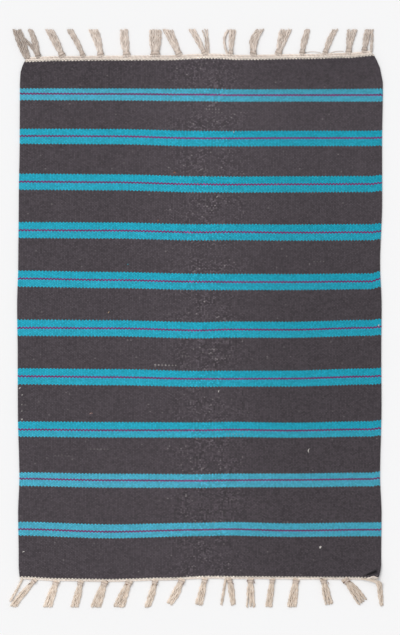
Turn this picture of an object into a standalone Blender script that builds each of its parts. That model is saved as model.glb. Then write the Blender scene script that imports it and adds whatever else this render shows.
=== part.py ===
"""A flatwoven kilim rug lying flat: the woven cloth and, at each end, a heading cord with its tassels.

Lengths are in millimetres up to the moment a point is made, where MM turns them into metres.
+X runs across the rug, +Y along it, +Z up. The tables are set out from the middle of the cloth,
and the last step moves everything so that the origin is under the middle of the whole rug.
"""

import math
from collections import namedtuple

import bmesh
import bpy
from mathutils import Vector

MM = 0.001

# The cloth
CLOTH_WIDTH = 612.0
CLOTH_LENGTH = 880.0
CLOTH_THICKNESS = 3.5
CLOTH_COLUMNS = 40
CLOTH_ROWS = 58
HALF_WIDTH = CLOTH_WIDTH / 2
HALF_LENGTH = CLOTH_LENGTH / 2

# Each selvedge wanders in and out a little. A positive number bulges away from the rug's middle.
Selvedge = namedtuple("Selvedge", "along left right")
SELVEDGES = (
    Selvedge(along=-400, left=0.5, right=-0.5),
    Selvedge(along=-330, left=1.5, right=0.2),
    Selvedge(along=-270, left=-0.7, right=-2.4),
    Selvedge(along=-150, left=2.0, right=0.1),
    Selvedge(along=-60, left=2.2, right=-0.4),
    Selvedge(along=20, left=3.2, right=0.3),
    Selvedge(along=90, left=1.2, right=-2.4),
    Selvedge(along=200, left=0.3, right=1.2),
    Selvedge(along=300, left=-1.2, right=1.0),
    Selvedge(along=390, left=-1.5, right=2.4),
)

# Neither end is quite straight. A positive number is towards +Y at both ends.
End = namedtuple("End", "across near far")
ENDS = (
    End(across=-300, near=1.0, far=-4.0),
    End(across=-240, near=-2.0, far=-2.0),
    End(across=-150, near=-3.2, far=-1.2),
    End(across=-60, near=-0.8, far=-0.8),
    End(across=15, near=2.2, far=2.2),
    End(across=70, near=1.6, far=0.0),
    End(across=180, near=0.8, far=1.6),
    End(across=250, near=0.5, far=3.6),
    End(across=300, near=0.0, far=8.0),
)

# The warps pull each corner in: by `draw` at the very end, fading over `reach`.
Corner = namedtuple("Corner", "draw reach")
CORNERS = {
    ("left", "near"): Corner(draw=2.0, reach=24.0),
    ("right", "near"): Corner(draw=4.0, reach=20.0),
    ("left", "far"): Corner(draw=9.0, reach=34.0),
    ("right", "far"): Corner(draw=17.0, reach=46.0),
}

# Low puckers in the upper face. Heading is the compass direction of the wave, in degrees from +X.
Pucker = namedtuple("Pucker", "height wave heading phase")
PUCKERS = (
    Pucker(height=0.22, wave=210.0, heading=78.0, phase=0.4),
    Pucker(height=0.18, wave=137.0, heading=12.0, phase=2.1),
    Pucker(height=0.15, wave=93.0, heading=104.0, phase=4.0),
)

# The near right corner is turned up off the floor.
CURL_HEIGHT = 4.0
CURL_REACH = 42.0

# The heading is a flat twisted cord that carries the tassels, parted from the cloth.
SEAM_GAP = 0.3
HEADING_WIDTH = 4.5
HEADING_HEIGHT = 4.0
HEADING_STEP = 14.0

# A tassel starts as a knot. Reach is from the heading; spread is a share of the tassel's width.
Bulge = namedtuple("Bulge", "reach spread height")
NECK_SPREAD = 0.66
KNOT = (
    Bulge(reach=2.4, spread=0.84, height=5.6),
    Bulge(reach=5.2, spread=NECK_SPREAD, height=4.4),
)

# Below the knot it parts into locks of yarn. Here reach is a share of the length below the knot.
LOCKS = (
    Bulge(reach=0.25, spread=0.88, height=4.5),
    Bulge(reach=0.62, spread=1.0, height=4.3),
    Bulge(reach=1.0, spread=1.0, height=2.4),
)
LOCK_FILL = 0.86
OUTER_LOCK_FULLNESS = 0.72
RAGGED = 0.05

# Root is the place across the rug. Lean is in degrees from straight out, positive towards +X,
# and bow is how far the middle of the tassel swings sideways from a straight line.
Tassel = namedtuple("Tassel", "root lean bow length width locks")
FAR_TASSELS = (
    Tassel(root=-291, lean=-21, bow=0, length=48, width=12, locks=5),
    Tassel(root=-272, lean=-22, bow=2, length=47, width=10, locks=4),
    Tassel(root=-233, lean=-26, bow=1, length=50, width=12, locks=5),
    Tassel(root=-198, lean=-24, bow=1, length=49, width=9, locks=4),
    Tassel(root=-168, lean=-16, bow=2, length=47, width=14, locks=5),
    Tassel(root=-124, lean=-6, bow=-1, length=46, width=14, locks=5),
    Tassel(root=-76, lean=0, bow=0, length=46, width=20, locks=8),
    Tassel(root=-35, lean=-27, bow=1, length=48, width=12, locks=5),
    Tassel(root=9, lean=-24, bow=1, length=46, width=18, locks=7),
    Tassel(root=49, lean=5, bow=-1, length=46, width=16, locks=6),
    Tassel(root=90, lean=16, bow=-2, length=47, width=14, locks=5),
    Tassel(root=131, lean=19, bow=-1, length=46, width=17, locks=6),
    Tassel(root=172, lean=10, bow=-1, length=45, width=12, locks=5),
    Tassel(root=211, lean=24, bow=-2, length=47, width=10, locks=4),
    Tassel(root=250, lean=10, bow=-1, length=44, width=14, locks=5),
    Tassel(root=274, lean=6, bow=0, length=43, width=10, locks=4),
    Tassel(root=287, lean=4, bow=0, length=42, width=7, locks=3),
)
NEAR_TASSELS = (
    Tassel(root=-300, lean=-29, bow=-3, length=43, width=6, locks=2),
    Tassel(root=-283, lean=-34, bow=0, length=49, width=11, locks=4),
    Tassel(root=-244, lean=-18, bow=0, length=46, width=15, locks=6),
    Tassel(root=-202, lean=-13, bow=1, length=44, width=14, locks=5),
    Tassel(root=-161, lean=-20, bow=0, length=46, width=16, locks=6),
    Tassel(root=-120, lean=-20, bow=0, length=46, width=16, locks=6),
    Tassel(root=-76, lean=-17, bow=1, length=46, width=12, locks=5),
    Tassel(root=-31, lean=-27, bow=1, length=45, width=13, locks=5),
    Tassel(root=8, lean=-13, bow=0, length=44, width=13, locks=5),
    Tassel(root=43, lean=-10, bow=0, length=43, width=5, locks=2),
    Tassel(root=51, lean=9, bow=0, length=43, width=10, locks=4),
    Tassel(root=85, lean=0, bow=0, length=46, width=15, locks=6),
    Tassel(root=122, lean=-8, bow=0, length=46, width=12, locks=5),
    Tassel(root=162, lean=-9, bow=0, length=45, width=14, locks=5),
    Tassel(root=208, lean=11, bow=0, length=43, width=14, locks=5),
    Tassel(root=245, lean=38, bow=1, length=48, width=14, locks=5),
    Tassel(root=297, lean=10, bow=3, length=42, width=9, locks=4),
)


# ---------------------------------------------------------------- helpers


def clear_scene():
    for obj in list(bpy.data.objects):
        bpy.data.objects.remove(obj)


def ease(share):
    """Turns a share from 0 to 1 into one that starts and ends gently."""
    share = min(1.0, max(0.0, share))
    return share * share * (3 - 2 * share)


def through(table, key, column, at):
    """The value at `at` of a smooth line through one column of a table."""
    before, after = table[0], table[-1]
    for row in table:
        if getattr(row, key) <= at:
            before = row
    for row in reversed(table):
        if getattr(row, key) > at:
            after = row
    span = getattr(after, key) - getattr(before, key)
    share = ease((at - getattr(before, key)) / span) if span else 0.0
    return getattr(before, column) + (getattr(after, column) - getattr(before, column)) * share


def evenly(begin, end, count):
    """The places that part a run into `count` equal steps, without its beginning."""
    return [begin + (end - begin) * (k + 1) / count for k in range(count)]


def principled(name, colour):
    material = bpy.data.materials.new(name)
    material.use_nodes = True
    shader = material.node_tree.nodes["Principled BSDF"]
    shader.inputs["Base Color"].default_value = (*colour, 1.0)
    shader.inputs["Roughness"].default_value = 0.95
    shader.inputs["Metallic"].default_value = 0.0
    return material


def object_from(bm, name, material):
    bmesh.ops.recalc_face_normals(bm, faces=bm.faces)
    mesh = bpy.data.meshes.new(name)
    bm.to_mesh(mesh)
    bm.free()
    mesh.shade_smooth()
    mesh.set_sharp_from_angle(angle=math.radians(40))
    mesh.materials.append(material)
    obj = bpy.data.objects.new(name, mesh)
    bpy.context.scene.collection.objects.link(obj)
    return obj


# ---------------------------------------------------------------- where the cloth lies


def outward(end):
    """The sign of Y away from the rug at one of its ends."""
    return 1 if end == "far" else -1


def selvedge_x(side, y):
    """X of a selvedge at this Y."""
    corner = CORNERS[side, "far" if y > 0 else "near"]
    near_end = max(0.0, 1 - (HALF_LENGTH - abs(y)) / corner.reach)
    x = HALF_WIDTH + through(SELVEDGES, "along", side, y) - corner.draw * near_end**2
    return -x if side == "left" else x


def end_y(end, x):
    """Y of a woven end at this X."""
    return outward(end) * HALF_LENGTH + through(ENDS, "across", end, x)


def cloth_xy(across, along):
    """The place of a point of the cloth, from how far it is (-1 to 1) across and along the rug."""
    left = selvedge_x("left", along * HALF_LENGTH)
    right = selvedge_x("right", along * HALF_LENGTH)
    x = left + (right - left) * (across + 1) / 2
    near = end_y("near", x)
    far = end_y("far", x)
    return x, near + (far - near) * (along + 1) / 2


def curl(x, y):
    """How far the turned-up corner stands off the floor here."""
    away = math.hypot(x - selvedge_x("right", -HALF_LENGTH), y + HALF_LENGTH)
    return CURL_HEIGHT * ease(1 - away / CURL_REACH)


def pucker(x, y):
    height = 0.0
    for wave in PUCKERS:
        turn = math.radians(wave.heading)
        travelled = x * math.cos(turn) + y * math.sin(turn)
        height += wave.height * math.sin(2 * math.pi * travelled / wave.wave + wave.phase)
    return height


# ---------------------------------------------------------------- the cloth


def make_cloth(material):
    bm = bmesh.new()
    bmesh.ops.create_grid(bm, x_segments=CLOTH_COLUMNS, y_segments=CLOTH_ROWS, size=1.0)
    for vert in bm.verts:
        x, y = cloth_xy(vert.co.x, vert.co.y)
        vert.co = Vector((x, y, curl(x, y))) * MM
    upper_face = bmesh.ops.extrude_face_region(bm, geom=bm.faces[:])["geom"]
    for vert in upper_face:
        if isinstance(vert, bmesh.types.BMVert):
            thickness = CLOTH_THICKNESS + pucker(vert.co.x / MM, vert.co.y / MM)
            vert.co.z += thickness * MM
    return object_from(bm, "woven_cloth", material)


# ---------------------------------------------------------------- the fringes


def heading_cuts(end, tassels):
    """X of each cut across the heading, and which cut each tassel's knot starts at."""
    end_of_cloth = outward(end) * HALF_LENGTH
    cuts = [selvedge_x("left", end_of_cloth)]
    knot_starts = []
    for tassel in tassels:
        half_neck = tassel.width * NECK_SPREAD / 2
        plain = tassel.root - half_neck - cuts[-1]
        cuts += evenly(cuts[-1], tassel.root - half_neck, math.ceil(plain / HEADING_STEP))
        knot_starts.append(len(cuts) - 1)
        cuts += evenly(cuts[-1], tassel.root + half_neck, tassel.locks)
    right = selvedge_x("right", end_of_cloth)
    cuts += evenly(cuts[-1], right, math.ceil((right - cuts[-1]) / HEADING_STEP))
    return cuts, knot_starts


def heading_ring(bm, end, x):
    """A section across the heading: two corners by the cloth, low then high, then two outside."""
    inner = end_y(end, x) + outward(end) * SEAM_GAP
    outer = inner + outward(end) * HEADING_WIDTH
    floor = curl(x, inner)
    top = floor + HEADING_HEIGHT
    corners = ((inner, floor), (inner, top), (outer, top), (outer, floor))
    return [bm.verts.new(Vector((x, y, z)) * MM) for y, z in corners]


def tassel_point(end, tassel, reach, offset, height):
    """A point `reach` down a tassel from the heading, `offset` to its right and `height` up."""
    turn = math.radians(tassel.lean)
    root_y = end_y(end, tassel.root) + outward(end) * (SEAM_GAP + HEADING_WIDTH)
    sideways = offset + tassel.bow * math.sin(math.pi * reach / tassel.length)
    x = tassel.root + reach * math.sin(turn) + sideways * math.cos(turn)
    y = root_y + outward(end) * (reach * math.cos(turn) - sideways * math.sin(turn))
    floor = curl(tassel.root, root_y) * ease(1 - 2 * reach / tassel.length)
    return Vector((x, y, floor + height)) * MM


def add_knot(bm, end, tassel, rings):
    """Draws the heading's outer side out into the knot, and returns where each lock starts."""
    low = [ring[3] for ring in rings]
    high = [ring[2] for ring in rings]
    for bulge in KNOT:
        offsets = [tassel.width * bulge.spread * (k / tassel.locks - 0.5) for k in range(len(rings))]
        new_low = [bm.verts.new(tassel_point(end, tassel, bulge.reach, x, 0)) for x in offsets]
        new_high = [bm.verts.new(tassel_point(end, tassel, bulge.reach, x, bulge.height)) for x in offsets]
        for k in range(tassel.locks):
            bm.faces.new((low[k], low[k + 1], new_low[k + 1], new_low[k]))
            bm.faces.new((high[k + 1], high[k], new_high[k], new_high[k + 1]))
        bm.faces.new((low[0], new_low[0], new_high[0], high[0]))
        bm.faces.new((new_low[-1], low[-1], high[-1], new_high[-1]))
        low, high = new_low, new_high
    return [(low[k], low[k + 1], high[k + 1], high[k]) for k in range(tassel.locks)]


def add_lock(bm, end, tassel, number, ring):
    """Carries one lock of yarn from the knot to its tip."""
    middle = (number + 0.5) / tassel.locks - 0.5
    half_lock = LOCK_FILL / tassel.locks / 2
    fullness = 1 - (1 - OUTER_LOCK_FULLNESS) * (2 * middle) ** 2
    length = tassel.length * (1 + RAGGED * math.sin(2.4 * number + tassel.root))
    knot_end = KNOT[-1].reach
    for bulge in LOCKS:
        reach = knot_end + (length - knot_end) * bulge.reach
        left = tassel.width * bulge.spread * (middle - half_lock)
        right = tassel.width * bulge.spread * (middle + half_lock)
        height = bulge.height * fullness
        corners = ((left, 0), (right, 0), (right, height), (left, height))
        new_ring = [bm.verts.new(tassel_point(end, tassel, reach, x, z)) for x, z in corners]
        for k in range(4):
            bm.faces.new((ring[k], ring[(k + 1) % 4], new_ring[(k + 1) % 4], new_ring[k]))
        ring = new_ring
    bm.faces.new(ring)


def make_fringe(name, end, tassels, material):
    bm = bmesh.new()
    cuts, knot_starts = heading_cuts(end, tassels)
    rings = [heading_ring(bm, end, x) for x in cuts]
    knotted = set()
    for start, tassel in zip(knot_starts, tassels):
        knotted.update(range(start, start + tassel.locks))
        lock_starts = add_knot(bm, end, tassel, rings[start : start + tassel.locks + 1])
        for number, ring in enumerate(lock_starts):
            add_lock(bm, end, tassel, number, ring)
    for i, (ring, after) in enumerate(zip(rings, rings[1:])):
        sides = (0, 1, 3) if i in knotted else (0, 1, 2, 3)
        for k in sides:
            bm.faces.new((ring[k], ring[(k + 1) % 4], after[(k + 1) % 4], after[k]))
    bm.faces.new(rings[0])
    bm.faces.new(rings[-1])
    return object_from(bm, name, material)


def centre_on_origin(pieces):
    """Moves the pieces' points so that the origin is under the middle of the whole rug."""
    points = [vert.co for piece in pieces for vert in piece.data.vertices]
    middle_x = (min(p.x for p in points) + max(p.x for p in points)) / 2
    middle_y = (min(p.y for p in points) + max(p.y for p in points)) / 2
    for point in points:
        point.x -= middle_x
        point.y -= middle_y


def main():
    clear_scene()
    woven = principled("charcoal_weave", (0.076, 0.062, 0.072))
    cream = principled("undyed_cotton", (0.61, 0.51, 0.42))
    cloth = make_cloth(woven)
    far_fringe = make_fringe("far_fringe", "far", FAR_TASSELS, cream)
    near_fringe = make_fringe("near_fringe", "near", NEAR_TASSELS, cream)
    centre_on_origin((cloth, far_fringe, near_fringe))


main()
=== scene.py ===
# %% [markdown]
# # A flatwoven rug with knotted tassels
#
# A kilim is a flat rug with no pile. The weft, which is the yarn that goes from side to side, is beaten
# down so hard that it hides the warp, the yarn that runs along the rug. Each warp then shows as a fine
# rib of oval beads, and each stripe is nothing but a change of weft. At both ends the warps are knotted
# into tassels. This lesson dresses a plain solid of such a rug: first the camera and the light, then the
# cloth and its weave, then the headings, the knots and the tassels.

import math
from collections import namedtuple

import bpy
import numpy as np
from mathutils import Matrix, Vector


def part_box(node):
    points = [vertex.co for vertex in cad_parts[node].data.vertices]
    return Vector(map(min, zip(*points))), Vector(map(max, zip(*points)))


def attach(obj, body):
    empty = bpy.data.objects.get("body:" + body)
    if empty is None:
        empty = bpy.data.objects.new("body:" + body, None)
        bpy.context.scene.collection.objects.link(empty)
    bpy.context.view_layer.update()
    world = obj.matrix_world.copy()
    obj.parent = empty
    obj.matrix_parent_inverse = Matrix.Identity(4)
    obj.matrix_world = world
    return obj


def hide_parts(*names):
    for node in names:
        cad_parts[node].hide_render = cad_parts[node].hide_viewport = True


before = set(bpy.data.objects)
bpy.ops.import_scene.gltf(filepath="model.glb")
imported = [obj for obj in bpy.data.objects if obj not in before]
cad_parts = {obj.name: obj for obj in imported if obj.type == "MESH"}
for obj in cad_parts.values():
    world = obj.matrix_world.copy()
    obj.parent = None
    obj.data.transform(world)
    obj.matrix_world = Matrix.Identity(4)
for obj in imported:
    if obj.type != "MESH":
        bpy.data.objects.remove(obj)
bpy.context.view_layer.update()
MM = 0.001

# %% [markdown]
# ## The outline
#
# No hand loom gives a true rectangle. The selvedges wander in and out by a millimetre or two, the ends
# bow, and the warps pull the corners in. The solid rug was drawn from the same short tables, so the
# cloth lies on it, and only the turned-up corner is drawn in further here. Each table holds only the
# places where the edge turns, and a smooth line is drawn through them. Lengths are in millimetres from
# the middle of the cloth.

# %% The wandering edges of the cloth
CLOTH_WIDTH = 612.0
CLOTH_LENGTH = 880.0
CLOTH_THICKNESS = 3.5
HALF_WIDTH = CLOTH_WIDTH / 2
HALF_LENGTH = CLOTH_LENGTH / 2

# A positive number bulges away from the rug's middle.
Selvedge = namedtuple("Selvedge", "along left right")
SELVEDGES = (
    Selvedge(along=-400, left=0.5, right=-0.5),
    Selvedge(along=-330, left=1.5, right=0.2),
    Selvedge(along=-270, left=-0.7, right=-2.4),
    Selvedge(along=-150, left=2.0, right=0.1),
    Selvedge(along=-60, left=2.2, right=-0.4),
    Selvedge(along=20, left=3.2, right=0.3),
    Selvedge(along=90, left=1.2, right=-2.4),
    Selvedge(along=200, left=0.3, right=1.2),
    Selvedge(along=300, left=-1.2, right=1.0),
    Selvedge(along=390, left=-1.5, right=2.4),
)

# A positive number is towards +Y at both ends.
End = namedtuple("End", "across near far")
ENDS = (
    End(across=-300, near=1.0, far=-4.0),
    End(across=-240, near=-2.0, far=-2.0),
    End(across=-150, near=-3.2, far=-1.2),
    End(across=-60, near=-0.8, far=-0.8),
    End(across=15, near=2.2, far=2.2),
    End(across=70, near=1.6, far=0.0),
    End(across=180, near=0.8, far=1.6),
    End(across=250, near=0.5, far=3.6),
    End(across=300, near=0.0, far=8.0),
)

# How far each corner is drawn in, and over what length.
Corner = namedtuple("Corner", "draw reach")
CORNERS = {
    ("left", "near"): Corner(draw=2.0, reach=24.0),
    ("right", "near"): Corner(draw=6.0, reach=27.0),
    ("left", "far"): Corner(draw=9.0, reach=34.0),
    ("right", "far"): Corner(draw=17.0, reach=46.0),
}


def ease(share):
    """Turns shares from 0 to 1 into ones that start and end gently."""
    share = np.clip(share, 0.0, 1.0)
    return share * share * (3 - 2 * share)


def through(table, key, column, at):
    """The values at `at` of a smooth line through one column of a table."""
    spots = np.array([getattr(row, key) for row in table], float)
    values = np.array([getattr(row, column) for row in table], float)
    at = np.clip(np.asarray(at, float), spots[0], spots[-1])
    before = np.clip(np.searchsorted(spots, at, side="right") - 1, 0, len(spots) - 2)
    share = ease((at - spots[before]) / (spots[before + 1] - spots[before]))
    return values[before] + (values[before + 1] - values[before]) * share


def outward(end):
    """The sign of Y away from the rug at one of its ends."""
    return 1 if end == "far" else -1


def selvedge_x(side, y):
    """X of a selvedge at these Y."""
    y = np.asarray(y, float)
    x = HALF_WIDTH + through(SELVEDGES, "along", side, y)
    for end in ("near", "far"):
        corner = CORNERS[side, end]
        from_end = HALF_LENGTH - outward(end) * y
        x = x - corner.draw * np.clip(1 - from_end / corner.reach, 0.0, 1.0) ** 2
    return -x if side == "left" else x


def end_y(end, x):
    """Y of a woven end at these X."""
    return outward(end) * HALF_LENGTH + through(ENDS, "across", end, x)


# The tables start from the cloth's own middle. This is where that middle lies in the frame.
EDGE_SAMPLES = 2001
lengthwise = np.linspace(-HALF_LENGTH, HALF_LENGTH, EDGE_SAMPLES)
widest_left = selvedge_x("left", lengthwise).min()
lowest_near = end_y("near", np.linspace(-HALF_WIDTH, HALF_WIDTH, EDGE_SAMPLES)).min()
cloth_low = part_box("woven_cloth")[0]
CLOTH_MIDDLE = Vector((cloth_low.x / MM - widest_left, cloth_low.y / MM - lowest_near, 0.0))
print("middle of the cloth, in mm:", [round(c, 2) for c in CLOTH_MIDDLE])

# %% [markdown]
# ## The camera, the floor and the light
#
# A rug like this is best seen as it hangs in a weaver's book: from straight above, flat and square. A
# long lens keeps the sides parallel. The light is a large soft one from the upper left with an even
# pale sky, so that colours stay true and the tassels throw only faint shadows.

# %% Set up the studio
VIEW_HEIGHT = 1073.0  # how much of the floor the camera sees, from near to far
VIEW_SHIFT = Vector((-0.3, 1.7, 0.0))
LENS = 100.0
SENSOR = 36.0
CLIP_END = 100.0  # in metres
FLOOR_SIZE = 60000.0
FLOOR_TINT = (0.92, 0.92, 0.925, 1.0)
FLOOR_ROUGHNESS = 0.9
FLOOR_SHINE = 0.1
SKY_STRENGTH = 0.66
KEY_STRENGTH = 1.35
KEY_ANGLE = 35.0
KEY_FROM = Vector((-0.55, 0.45, 1.0))

scene = bpy.context.scene
scene.view_settings.view_transform = "Standard"

camera_data = bpy.data.cameras.new("camera")
camera_data.lens = LENS
camera_data.sensor_width = SENSOR
camera_data.clip_end = CLIP_END
camera = bpy.data.objects.new("camera", camera_data)
camera.location = (CLOTH_MIDDLE + VIEW_SHIFT + Vector((0, 0, VIEW_HEIGHT * LENS / SENSOR))) * MM
scene.collection.objects.link(camera)
scene.camera = camera

key_data = bpy.data.lights.new("key_light", "SUN")
key_data.energy = KEY_STRENGTH
key_data.angle = math.radians(KEY_ANGLE)
key_light = bpy.data.objects.new("key_light", key_data)
key_light.rotation_euler = KEY_FROM.to_track_quat("Z", "Y").to_euler()
scene.collection.objects.link(key_light)

sky = bpy.data.worlds.new("studio_sky")
sky.use_nodes = True
sky.node_tree.nodes["Background"].inputs["Color"].default_value = (1.0, 1.0, 1.0, 1.0)
sky.node_tree.nodes["Background"].inputs["Strength"].default_value = SKY_STRENGTH
scene.world = sky

bpy.ops.object.select_all(action="DESELECT")
bpy.ops.mesh.primitive_plane_add(size=FLOOR_SIZE * MM)
floor = bpy.context.object
floor.name = "studio_floor"
floor_paint = bpy.data.materials.new("pale_floor")
floor_paint.use_nodes = True
floor_shader = floor_paint.node_tree.nodes["Principled BSDF"]
floor_shader.inputs["Base Color"].default_value = FLOOR_TINT
floor_shader.inputs["Roughness"].default_value = FLOOR_ROUGHNESS
floor_shader.inputs["Specular IOR Level"].default_value = FLOOR_SHINE
floor.data.materials.append(floor_paint)
print("camera height, in m:", round(camera.location.z, 3))

# %% [markdown]
# ## Counting the cloth
#
# A weaver thinks in warps and picks, and so does this script. There are 220 warps across the rug, and a
# pick, one pass of the weft, every 1.35 mm. A stripe is a number of picks, and its place is the pick
# where its plum line lies. The picks aren't quite straight: they sag in the middle where the rug was
# folded, and each row of the table says by how much at several places across. The cloth is drawn so that
# its rows follow the picks, and each point keeps its warp and pick in an attribute named weave. The
# pattern is read from there, so it bends with the cloth.

# %% The warps, the stripes and the pick lines
WARPS = 220
PICK = 1.35
PICKS = round(CLOTH_LENGTH / PICK)
PLUM_MIDDLE = 1.5  # where the middle of a plum line lies, in picks from its first one

# The reed isn't even: the warps stand closer in the middle and on the right.
Spacing = namedtuple("Spacing", "warp gap")
SPACINGS = (
    Spacing(warp=0, gap=1.01),
    Spacing(warp=60, gap=1.02),
    Spacing(warp=88, gap=1.03),
    Spacing(warp=98, gap=0.94),
    Spacing(warp=134, gap=0.94),
    Spacing(warp=142, gap=1.00),
    Spacing(warp=165, gap=0.98),
    Spacing(warp=180, gap=0.95),
    Spacing(warp=WARPS, gap=0.95),
)
WARP_EDGES = np.arange(WARPS + 1)
warp_gaps = through(SPACINGS, "warp", "gap", WARP_EDGES[:-1] + 0.5)
WARP_SHARES = np.concatenate([[0.0], np.cumsum(warp_gaps)]) / warp_gaps.sum()

# Below and above are picks of turquoise on each side of the plum line. The tints run from 0, the deep
# dye, to 1, the faded one. Drops say how far the plum line lies above its mean at each place ACROSS,
# and lift how far it turns up at the right selvedge.
ACROSS = (-302, -150, 0, 50, 150, 285)
LIFT_START = 288.0
LIFT_LENGTH = 16.0
Stripe = namedtuple("Stripe", "along below above tint_below tint_above lift drops")
STRIPES = (
    Stripe(-357.5, 7, 8, 1.0, 0.9, 0.0, (2.0, -2.5, 1.0, 2.0, -0.5, 1.0)),
    Stripe(-272.0, 8, 7, 1.0, 0.9, 2.0, (1.5, -1.0, -2.0, -1.0, -0.5, 1.0)),
    Stripe(-188.5, 8, 9, 0.35, 0.05, 2.0, (1.0, 0.0, 0.0, 1.0, -0.5, 1.5)),
    Stripe(-99.5, 9, 9, 0.1, 0.0, 1.0, (2.0, 0.5, -2.5, -2.5, -2.0, 1.5)),
    Stripe(-17.0, 9, 9, 0.1, 0.0, 1.5, (1.0, 0.5, -3.0, -1.5, -2.0, 1.5)),
    Stripe(64.0, 9, 9, 0.1, 0.0, 4.5, (3.5, 1.0, -2.0, -2.5, -2.5, -1.5)),
    Stripe(147.0, 9, 9, 0.1, 0.0, 1.5, (2.0, 1.5, -1.5, -1.0, -2.0, -1.5)),
    Stripe(228.5, 9, 9, 0.1, 0.0, 2.0, (2.5, 1.5, -2.0, -2.5, -2.0, -1.5)),
    Stripe(306.5, 9, 8, 0.1, 0.0, 0.5, (1.5, 1.0, -2.5, -2.5, -2.0, -2.0)),
    Stripe(378.5, 7, 6, 1.0, 0.9, 0.0, (1.0, 0.5, -0.5, -1.5, -1.5, -1.5)),
)


def plum_pick(stripe):
    """The number of the first plum pick of a stripe, counted from the near end."""
    return round((stripe.along + HALF_LENGTH) / PICK) - 1


Bend = namedtuple("Bend", "x drop")


def pick_lines(x):
    """Y of the near end, of each plum line and of the far end at these X, as rows."""
    lines = [end_y("near", x)]
    for stripe in STRIPES:
        bends = [Bend(place, drop) for place, drop in zip(ACROSS, stripe.drops)]
        lift = stripe.lift * ease((x - LIFT_START) / LIFT_LENGTH)
        lines.append(stripe.along + through(bends, "x", "drop", x) + lift)
    lines.append(end_y("far", x))
    return np.array(lines)


LINE_PICKS = np.array([0.0, *(plum_pick(stripe) + PLUM_MIDDLE for stripe in STRIPES), PICKS])


def place_of(warp, pick):
    """X and Y of these warps and picks, by the same rule as the solid rug."""
    y = (pick / PICKS - 0.5) * CLOTH_LENGTH
    left = selvedge_x("left", y)
    x = left + (selvedge_x("right", y) - left) * np.interp(warp, WARP_EDGES, WARP_SHARES)
    lines = pick_lines(x)
    before = np.clip(np.searchsorted(LINE_PICKS, pick, side="right") - 1, 0, len(LINE_PICKS) - 2)
    share = (pick - LINE_PICKS[before]) / (LINE_PICKS[before + 1] - LINE_PICKS[before])
    below = np.take_along_axis(lines, before[None], axis=0)[0]
    above = np.take_along_axis(lines, before[None] + 1, axis=0)[0]
    return x, below + (above - below) * share


def count_at(x, y):
    """The warp and the pick at one place on the cloth."""
    left = float(selvedge_x("left", y))
    share = (x - left) / (float(selvedge_x("right", y)) - left)
    return float(np.interp(share, WARP_SHARES, WARP_EDGES)), float(np.interp(y, pick_lines(x), LINE_PICKS))


print("picks:", PICKS, "plum lines at picks:", [plum_pick(stripe) for stripe in STRIPES])

# %% [markdown]
# ## The sheet of cloth
#
# The cloth is one thin sheet, laid flat. It could be a plain slab with the weave painted on, but low
# light would then find it smooth. So it starts as a grid with three columns of points to a warp, gets
# its thickness from Solidify, and each warp is then lifted into a soft rib in the upper face. Low
# puckers, the turned-up corner and the crease beside it are lifted in the same way, and the selvedges,
# where the weft turns back round the last warp, are rounded over.

# %% Lay the grid along warps and picks
COLUMN_STEPS = (0.0, 1 / 3, 2 / 3)  # where a warp's three columns lie: its valley and its two shoulders
NEAR_ROWS = (0, 1, 2, 3, 4, 5, 6, 7, 8, 9, 10, 12, 14, 16, 19, 22, 26, 31)
FAR_ROWS = (0, 1, 2, 4, 8, 16, 31)
MIDDLE_ROWS = 44

warp_columns = np.array([k + step for k in range(WARPS) for step in COLUMN_STEPS] + [WARPS])
middle_rows = np.linspace(NEAR_ROWS[-1], PICKS - FAR_ROWS[-1], MIDDLE_ROWS + 2)[1:-1]
pick_rows = np.array([*NEAR_ROWS, *middle_rows, *(PICKS - row for row in reversed(FAR_ROWS))])

bpy.ops.object.select_all(action="DESELECT")
bpy.ops.mesh.primitive_grid_add(
    x_subdivisions=len(warp_columns) - 1, y_subdivisions=len(pick_rows) - 1, size=2
)
cloth = bpy.context.object
cloth.name = "woven_sheet"


def points_of(mesh):
    """The places of a mesh's points, as rows."""
    points = np.empty(len(mesh.vertices) * 3)
    mesh.vertices.foreach_get("co", points)
    return points.reshape(-1, 3)


def move_points(mesh, points):
    """Puts a mesh's points at these places."""
    mesh.vertices.foreach_set("co", points.ravel())
    mesh.update()


grid = points_of(cloth.data)
warp = warp_columns[np.rint((grid[:, 0] + 1) / 2 * (len(warp_columns) - 1)).astype(int)]
pick = pick_rows[np.rint((grid[:, 1] + 1) / 2 * (len(pick_rows) - 1)).astype(int)]
x, y = place_of(warp, pick)
move_points(cloth.data, np.stack([x, y, np.full_like(x, CLOTH_THICKNESS)], axis=1) * MM)

weave = cloth.data.attributes.new("weave", "FLOAT_VECTOR", "POINT")
weave.data.foreach_set("vector", np.stack([warp, pick, np.zeros_like(warp)], axis=1).ravel())

solidify = cloth.modifiers.new("thickness", "SOLIDIFY")
solidify.thickness = CLOTH_THICKNESS * MM
solidify.offset = -1.0
bpy.ops.object.modifier_apply(modifier=solidify.name)
print("sheet:", len(cloth.data.vertices), "points,", len(cloth.data.polygons), "faces")
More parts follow.
